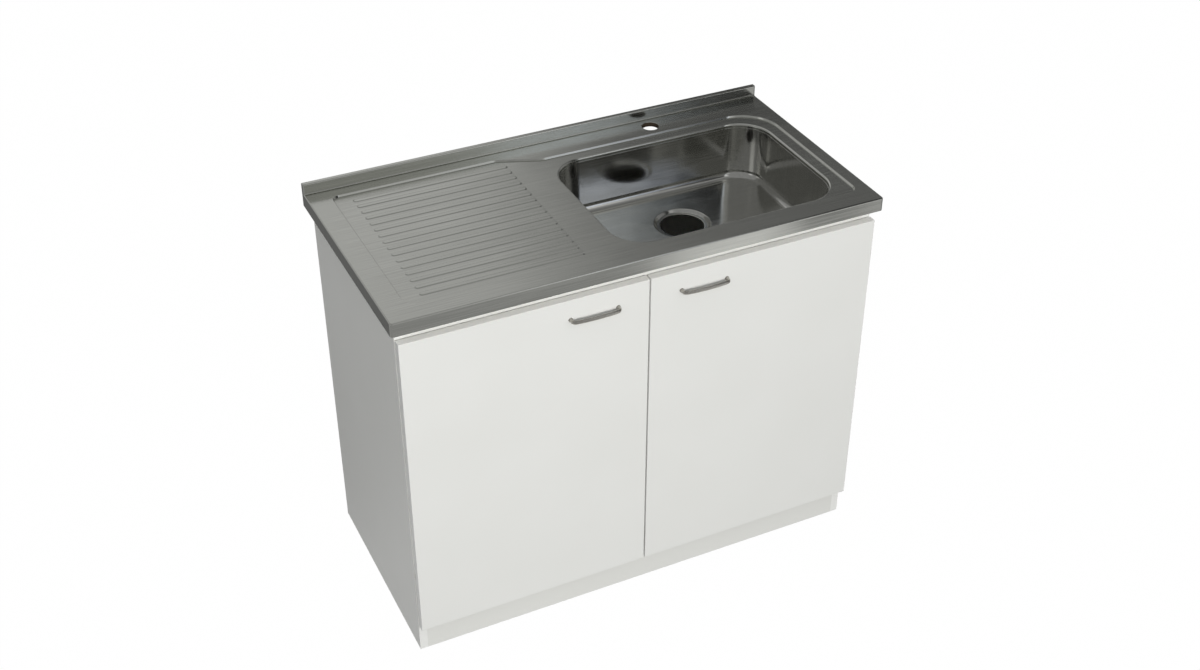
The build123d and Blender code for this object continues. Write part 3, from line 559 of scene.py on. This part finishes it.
def line_brushed(name, colour, rough, streak_depth, wave_depth, smear, darkest=0.85):
    """Stainless steel brushed along X, which smears what it mirrors across the lines. The real
    scratches are about 0.1 mm apart, and they are drawn 2 mm apart here so that they show. Sheet
    this thin is never quite flat, which the slow waves give."""
    material, tree, surface = start_material(name, Metallic=1.0, Anisotropic=smear)
    lay = grow(tree, "CombineXYZ", {"Y": 0.7, "Z": 0.71})
    tree.links.new(lay.outputs[0], surface.inputs["Tangent"])
    level_grain = spots(tree, 1.0, stretch=(6, 450, 450), detail=4.0, roughness=0.6)
    end_grain = spots(tree, 1.0, stretch=(450, 450, 6), detail=4.0, roughness=0.6)
    way = grow(tree, "SeparateXYZ", {"Vector": grow(tree, "TexCoord").outputs["Normal"]})
    across = grow(tree, "Math", {0: way.outputs["X"]}, operation="ABSOLUTE").outputs[0]
    on_end = grow(tree, "Math", {0: across, 1: 0.8}, operation="GREATER_THAN").outputs[0]
    grain = grow(tree, "Mix", {0: on_end, 2: level_grain, 3: end_grain}).outputs[0]
    smears = spots(tree, 7, stretch=(1, 2.4, 2.4), detail=3.0)
    waves = spots(tree, 9, stretch=(1, 1.6, 1), detail=1.0)
    shade = [c * darkest for c in tone(colour)[:3]] + [1]
    lines = grow(tree, "MapRange", {"Value": grain, "From Min": 0.35, "From Max": 0.65}).outputs[0]
    streaked = grow(tree, "Mix", {0: lines, 6: shade, 7: tone(colour)}, data_type="RGBA")
    tree.links.new(streaked.outputs[2], surface.inputs["Base Color"])
    wiped = grow(tree, "MapRange", {"Value": smears, **noise_middle, "To Min": -0.03,
                                    "To Max": 0.04}).outputs[0]
    brushed = grow(tree, "MapRange", {"Value": grain, **noise_middle, "To Min": rough - 0.03,
                                      "To Max": rough + 0.04}).outputs[0]
    dull = grow(tree, "Math", {0: wiped, 1: brushed}, operation="ADD").outputs[0]
    tree.links.new(dull, surface.inputs["Roughness"])
    slow = grow(tree, "Bump", {"Height": waves, "Strength": 1.0, "Distance": wave_depth * MM})
    fine = grow(tree, "Bump", {"Height": grain, "Strength": 1.0, "Distance": streak_depth * MM,
                               "Normal": slow.outputs[0]})
    tree.links.new(fine.outputs[0], surface.inputs["Normal"])
    return material


def give_wall(piece, thickness):
    """Thickness of the sheet behind the face that shows, and even shading of its flats."""
    wall = piece.modifiers.new("wall", "SOLIDIFY")
    wall.thickness = thickness * MM
    wall.offset = -1
    wall.use_even_offset = True
    edges = piece.modifiers.new("edges", "BEVEL")
    edges.width = 0.3 * MM
    edges.segments = 2
    edges.limit_method = "ANGLE"
    edges.angle_limit = math.radians(70)
    shading = piece.modifiers.new("flats", "WEIGHTED_NORMAL")
    shading.keep_sharp = True


satin_steel = line_brushed("satin_brushed_stainless", "#CCCDC7", 0.17, 0.005, 0.3, 0.6)
deck = plant("pressed_sink_deck", pressed_deck(), "carcass", satin_steel,
             ("sink_deck",))
give_wall(deck, sheet)

# ---------------------------------------------------------------------------------------------
# Bowl: drawn from the same steel, welded under the rim and polished inside, with a stepped
# recess for the waste. A damping pad of dull black rubber is glued under its floor.

bowl_floor = 675.0
bowl_floor_round = 18.0
floor_round_steps = 12
bowl_draft = math.radians(2)
wall_depths = (20, 50, 75)
waste_at = (208.5, 23.0)
waste_radius = 45.0
recess_sides = 96
# Half outline of the recess: how far it is from the waste's axis, and how deep in the floor.
recess_outline = ((58.6, 0), (57.6, 0.25), (56.8, 0.8), (53.2, 4.2), (52.2, 4.8), (51.2, 5.0),
                  (waste_radius + 0.6, 5.0), (waste_radius + 0.15, 5.15), (waste_radius, 5.6))


def drawn_bowl():
    """Walls and floor drawn down from the mouth, and the recess round the waste hole."""
    mesh = bmesh.new()
    mouth = outline(mesh, bowl_corners(0), collar_level, bowl_steps)
    lean = math.tan(bowl_draft)
    turn_level = bowl_floor + bowl_floor_round
    centre = (collar_level - turn_level) * lean + bowl_floor_round / math.cos(bowl_draft)
    wall_end = turn_level - bowl_floor_round * math.sin(bowl_draft)
    levels = [collar_level - depth for depth in wall_depths] + [wall_end]
    profile = [((collar_level - level) * lean, level - collar_level) for level in levels]
    for step in range(1, floor_round_steps + 1):
        turn = bowl_draft + (math.pi / 2 - bowl_draft) * step / floor_round_steps
        profile.append((centre - bowl_floor_round * math.cos(turn),
                        turn_level - bowl_floor_round * math.sin(turn) - collar_level))
    stepped(mesh, mouth, profile)
    # The recess and its ledge are turned about the waste's axis.
    points = [(waste_at[0] + out, waste_at[1], bowl_floor - down) for out, down in recess_outline]
    turned(mesh, points, (*waste_at, 0), (0, 0, 1), recess_sides)
    bmesh.ops.delete(mesh, geom=[mouth], context="FACES_ONLY")
    bmesh.ops.remove_doubles(mesh, verts=mesh.verts, dist=weld)
    floor_edges = open_edges(mesh, lambda co: abs(co.z - bowl_floor) < level_near)
    bmesh.ops.triangle_fill(mesh, edges=floor_edges, use_beauty=True)
    bmesh.ops.recalc_face_normals(mesh, faces=mesh.faces)
    return mesh


# Polishing takes the brush lines almost away, so the bowl mirrors more sharply than the deck.
polished_steel = line_brushed("polished_stainless", "#C6C6C2", 0.12, 0.0003, 0.5, 0.0)
bowl = plant("drawn_bowl", drawn_bowl(), "carcass", polished_steel, ("bowl",))
give_wall(bowl, sheet)

rubber, rubber_tree, rubber_surface = start_material("black_damping_rubber", Roughness=0.8)
crumb = grow(rubber_tree, "Mix", {0: spots(rubber_tree, 500, detail=3.0), 6: tone("#1C1C1C"),
                                  7: tone("#2C2C2B")}, data_type="RGBA")
rubber_tree.links.new(crumb.outputs[2], rubber_surface.inputs["Base Color"])
dress(("bowl_pad",), rubber)

# ---------------------------------------------------------------------------------------------
# Studio: a white floor and backdrop, a wide soft lamp in front of the unit, and a painted room
# that shows only in gloss. It is darker to the right and overhead.

floor_reach = 30
floor_tone = "#525250"
white_share = 0.985
white_strength = 1.012
ambient_tint, ambient_strength = (0.98, 0.99, 1.0, 1), 0.73


def seen_directly(tree):
    """Socket that is 1 for rays from the camera, from gloss and through glass, and else 0."""
    path = grow(tree, "LightPath")
    seen = path.outputs["Is Camera Ray"]
    for other in ("Is Glossy Ray", "Is Transmission Ray"):
        seen = grow(tree, "Math", {0: seen, 1: path.outputs[other]}, operation="MAXIMUM").outputs[0]
    return seen


def shown_white(tree, lit):
    """Surface that looks white in the picture and in gloss, and keeps part of its own shading."""
    share = grow(tree, "Math", {0: seen_directly(tree), 1: white_share}, operation="MULTIPLY")
    white = grow(tree, "Emission", {"Color": (1, 1, 1, 1), "Strength": white_strength})
    mixed = grow(tree, "MixShader", {0: share.outputs[0], 1: lit, 2: white.outputs[0]})
    return mixed.outputs[0]


floor_mesh = bmesh.new()
bmesh.ops.create_grid(floor_mesh, x_segments=1, y_segments=1, size=floor_reach)
floor_data = bpy.data.meshes.new("studio_floor")
floor_mesh.to_mesh(floor_data)
floor_mesh.free()
floor = bpy.data.objects.new("studio_floor", floor_data)
bpy.context.scene.collection.objects.link(floor)
paint, paint_tree, matt = start_material("white_studio_floor", Roughness=1.0,
                                         Specular_IOR_Level=0.0, Base_Color=tone(floor_tone))
paint_tree.links.new(shown_white(paint_tree, matt.outputs[0]),
                     paint_tree.nodes["Material Output"].inputs[0])
floor_data.materials.append(paint)

world = bpy.data.worlds.new("studio")
bpy.context.scene.world = world
world.use_nodes = True
sky = world.node_tree
ambient = sky.nodes["Background"]
ambient.inputs["Color"].default_value = ambient_tint
ambient.inputs["Strength"].default_value = ambient_strength
backdrop = grow(sky, "Background", {"Color": (1, 1, 1, 1), "Strength": 1.0})
sky_mix = grow(sky, "MixShader", {0: seen_directly(sky), 1: ambient.outputs[0],
                                  2: backdrop.outputs[0]})
sky.links.new(sky_mix.outputs[0], sky.nodes["World Output"].inputs[0])

# The room is a dome with a flat bottom just over the floor, painted as seen from the worktop.
room_radius = 9
room_bottom = 0.001
room_weld = 0.0001
eye_level = 0.8
room_base = 0.5
room_darkest = 0.03

room_mesh = bmesh.new()
bmesh.ops.create_uvsphere(room_mesh, u_segments=64, v_segments=48, radius=room_radius)
for vert in room_mesh.verts:
    vert.co.z = max(vert.co.z, room_bottom)
bmesh.ops.remove_doubles(room_mesh, verts=room_mesh.verts, dist=room_weld)
bmesh.ops.reverse_faces(room_mesh, faces=room_mesh.faces)
room_data = bpy.data.meshes.new("painted_room")
room_mesh.to_mesh(room_data)
room_mesh.free()
room = bpy.data.objects.new("painted_room", room_data)
bpy.context.scene.collection.objects.link(room)
room.visible_camera = False
room.visible_diffuse = False
room.visible_shadow = False
room.visible_transmission = False
wall_paint = bpy.data.materials.new("painted_room")
wall_paint.use_nodes = True
room_tree = wall_paint.node_tree
room_tree.nodes.remove(room_tree.nodes["Principled BSDF"])
room_data.materials.append(wall_paint)
room_at = grow(room_tree, "TexCoord").outputs["Object"]
from_eye = grow(room_tree, "VectorMath", {0: room_at, 1: (0, 0, -eye_level)}, operation="ADD")
room_way = grow(room_tree, "VectorMath", {0: from_eye.outputs[0]}, operation="NORMALIZE").outputs[0]


def aim(azimuth, elevation):
    """Direction from the unit, with azimuth from +Y towards +X and elevation above level."""
    turn, lift = math.radians(azimuth), math.radians(elevation)
    return math.sin(turn) * math.cos(lift), math.cos(turn) * math.cos(lift), math.sin(lift)


def glow(light, azimuth, elevation, core, edge, colour):
    """Adds a soft round patch of light to the room, with its angles in degrees. The patch is even
    within its core and fades out at its edge."""
    facing = grow(room_tree, "VectorMath", {0: room_way, 1: aim(azimuth, elevation)},
                  operation="DOT_PRODUCT").outputs["Value"]
    patch = grow(room_tree, "MapRange", {"Value": facing,
                                         "From Min": math.cos(math.radians(edge)),
                                         "From Max": math.cos(math.radians(core))},
                 interpolation_type="SMOOTHSTEP").outputs[0]
    return grow(room_tree, "VectorMath", {0: colour, 1: patch, 2: light},
                operation="MULTIPLY_ADD").outputs[0]


def grey(level):
    """Light of one level in all three colours, or shade where it is negative."""
    return level, level, level


# Each patch is an azimuth, an elevation, the core's and the edge's radius, and what it adds.
room_shades = ((75, 5, 50, 60, grey(-0.34)),
               (115.8, 20, 32, 35, grey(-0.46)),
               (-120, 30, 58, 76, grey(-0.17)),
               (82, 60, 6, 26, grey(-0.25)),
               (-20, 38, 8, 18, grey(-0.15)),
               (8, 28, 12, 30, grey(0.1)),
               (30, 10, 15.5, 19, grey(-0.2)),
               (20, 39, 5, 8, grey(-0.08)),
               (139.5, -24, 1.5, 4.5, grey(-0.2)),
               (178, -38, 14, 30, grey(-0.15)),
               (-20, -35, 20, 50, grey(-0.35)))
room_lights = ((149, -27, 2.5, 8, grey(0.45)),
               (-104, 22, 5, 10, grey(0.5)),
               (166, 28, 4, 12, grey(0.2)),
               (153.5, 28, 2, 5.5, (0.72, 0.8, 1.02)),
               (152.5, 35, 2, 6, (0.3, 0.34, 0.38)),
               (150, 43, 3, 8, grey(0.36)),
               (149.5, 51, 2, 8, grey(0.4)),
               (36, -2, 10, 20, grey(0.2)),
               (38, 9, 7, 14, grey(0.3)),
               (92, 28, 14, 30, grey(0.22)),
               (146, -5, 4, 10, grey(0.6)),
               (165, -75, 20, 38, grey(0.35)))

room_glow = grow(room_tree, "CombineXYZ", {0: room_base, 1: room_base, 2: room_base}).outputs[0]
for patch in room_shades:
    room_glow = glow(room_glow, *patch)
room_glow = grow(room_tree, "VectorMath", {0: room_glow, 1: grey(room_darkest)},
                 operation="MAXIMUM").outputs[0]

# Its walls meet the floor in a pale band, and the lamps and windows are brighter patches.
room_rise = grow(room_tree, "SeparateXYZ", {"Vector": room_way}).outputs["Z"]
room_rise = grow(room_tree, "Math", {0: room_rise}, operation="ABSOLUTE").outputs[0]
band = grow(room_tree, "MapRange", {"Value": room_rise, "From Min": 0.05, "From Max": 0.13,
                                    "To Min": 1, "To Max": 0}).outputs[0]
room_glow = grow(room_tree, "Mix", {0: band, 6: room_glow, 7: tone("#BCBCBC")},
                 data_type="RGBA").outputs[2]
for patch in room_lights:
    room_glow = glow(room_glow, *patch)
room_light = grow(room_tree, "Emission", {"Color": room_glow, "Strength": 1.0})
room_tree.links.new(room_light.outputs[0], room_tree.nodes["Material Output"].inputs[0])

# The lamp is flat and wide, and gloss doesn't show it.
lamp_place, lamp_target = (-0.8, -4.1, 2.1), (0, 0, 0.4)
lamp_data = bpy.data.lights.new("front_lamp", "AREA")
lamp_data.shape = "RECTANGLE"
lamp_data.size, lamp_data.size_y = 2.6, 0.9
lamp_data.energy = 112
lamp = bpy.data.objects.new("front_lamp", lamp_data)
bpy.context.scene.collection.objects.link(lamp)
lamp.location = lamp_place
lamp_way = Vector(lamp_target) - Vector(lamp_place)
lamp.rotation_euler = lamp_way.to_track_quat("-Z", "Y").to_euler()
lamp.visible_glossy = False

# ---------------------------------------------------------------------------------------------
# Camera: front left of the unit and above it, fitted to the unit's corners in the picture,
# which is 1200 pixels wide.

picture_width = 1200
focal_pixels = 1597
camera_place = (-1.152, -2.407, 2.325)
camera_pan, camera_tilt, camera_roll = (math.radians(turn) for turn in (-25.83, 55.31, 0.11))

camera_data = bpy.data.cameras.new("camera")
camera_data.sensor_fit = "HORIZONTAL"
camera_data.sensor_width = 36.0
camera_data.lens = camera_data.sensor_width * focal_pixels / picture_width
camera = bpy.data.objects.new("camera", camera_data)
bpy.context.scene.collection.objects.link(camera)
camera.matrix_world = (Matrix.Translation(camera_place) @ Matrix.Rotation(camera_pan, 4, "Z")
                       @ Matrix.Rotation(camera_tilt, 4, "X")
                       @ Matrix.Rotation(camera_roll, 4, "Z"))
bpy.context.scene.camera = camera
bpy.context.scene.view_settings.view_transform = "Standard"
